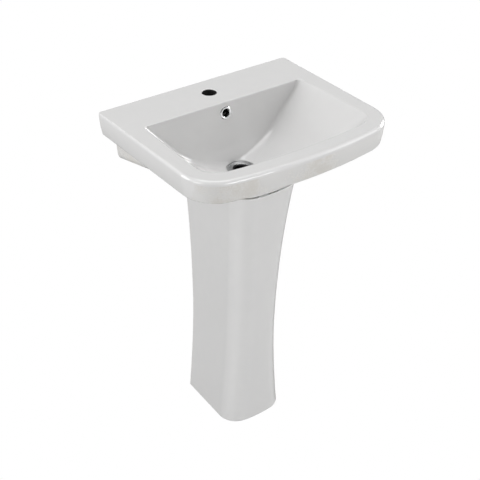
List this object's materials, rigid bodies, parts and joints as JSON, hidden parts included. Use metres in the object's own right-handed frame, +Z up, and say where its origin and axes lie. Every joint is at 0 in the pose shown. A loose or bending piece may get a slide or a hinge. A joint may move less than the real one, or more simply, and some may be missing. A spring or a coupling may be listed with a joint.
{
  "type": "pedestal sink",
  "caption": "Pedestal wash basin with a tap deck and overflow, on a hollow waisted pedestal that hides its slotted waste and bottle trap.",
  "frame": {"origin": "on the floor, midway across the width and midway between the wall and the basin's front", "axes": "+Z up, +Y towards the wall, +X to the right of a person who faces the basin"},
  "size_m": [0.53, 0.446, 0.85],
  "materials": {
    "china": "white gloss glaze",
    "chrome": "polished",
    "rubber": "matt",
    "white_plastic": "moulded, semi-gloss",
    "grey_plastic": "moulded, matt",
    "clear_silicone": "translucent, matt"
  },
  "bodies": {
    "fixture": {"basin_deck": "china", "basin_skirt": "china", "basin_bowl": "china", "pedestal": "china", "seat_pads": "clear_silicone", "wall_bushes": "grey_plastic", "floor_bushes": "grey_plastic", "overflow_ring": "chrome", "waste_body": "chrome", "waste_top_washer": "clear_silicone", "waste_bottom_washer": "rubber", "waste_friction_ring": "grey_plastic", "waste_backnut": "chrome", "trap_inlet_washer": "rubber", "trap_body": "white_plastic", "trap_dip_tube": "white_plastic", "trap_outlet_washer": "rubber", "outlet_pipe": "white_plastic"},
    "inlet_ring": {"trap_inlet_slip_ring": "grey_plastic"},
    "inlet_nut": {"trap_inlet_nut": "white_plastic"},
    "outlet_ring": {"trap_outlet_slip_ring": "grey_plastic"},
    "outlet_nut": {"trap_outlet_nut": "white_plastic"},
    "cup_seal": {"trap_cup_seal": "rubber"},
    "cup": {"trap_cup": "white_plastic"}
  },
  "joints": [
    {"name": "inlet_nut_travel", "type": "slide", "parent": "fixture", "child": "inlet_ring", "axis": [0, 0, -1], "range_m": [0, 0.01155]},
    {"name": "inlet_nut_turn", "type": "hinge", "parent": "inlet_ring", "child": "inlet_nut", "pos_m": [0, 0.035, 0.6235], "axis": [0, 0, -1], "range_deg": [0, 1800]},
    {"name": "outlet_nut_travel", "type": "slide", "parent": "fixture", "child": "outlet_ring", "axis": [0, 1, 0], "range_m": [0, 0.009]},
    {"name": "outlet_nut_turn", "type": "hinge", "parent": "outlet_ring", "child": "outlet_nut", "pos_m": [0, 0.087, 0.556], "axis": [0, 1, 0], "range_deg": [0, 1080]},
    {"name": "cup_travel", "type": "slide", "parent": "fixture", "child": "cup_seal", "axis": [0, 0, -1], "range_m": [0, 0.009]},
    {"name": "cup_turn", "type": "hinge", "parent": "cup_seal", "child": "cup", "pos_m": [0, 0.035, 0.493], "axis": [0, 0, -1], "range_deg": [0, 1080]}
  ],
  "couplings": [
    {"joint": "inlet_nut_travel", "follows": "inlet_nut_turn", "m_per_rad": 0.00036749},
    {"joint": "outlet_nut_travel", "follows": "outlet_nut_turn", "m_per_rad": 0.00047746},
    {"joint": "cup_travel", "follows": "cup_turn", "m_per_rad": 0.00047746}
  ]
}
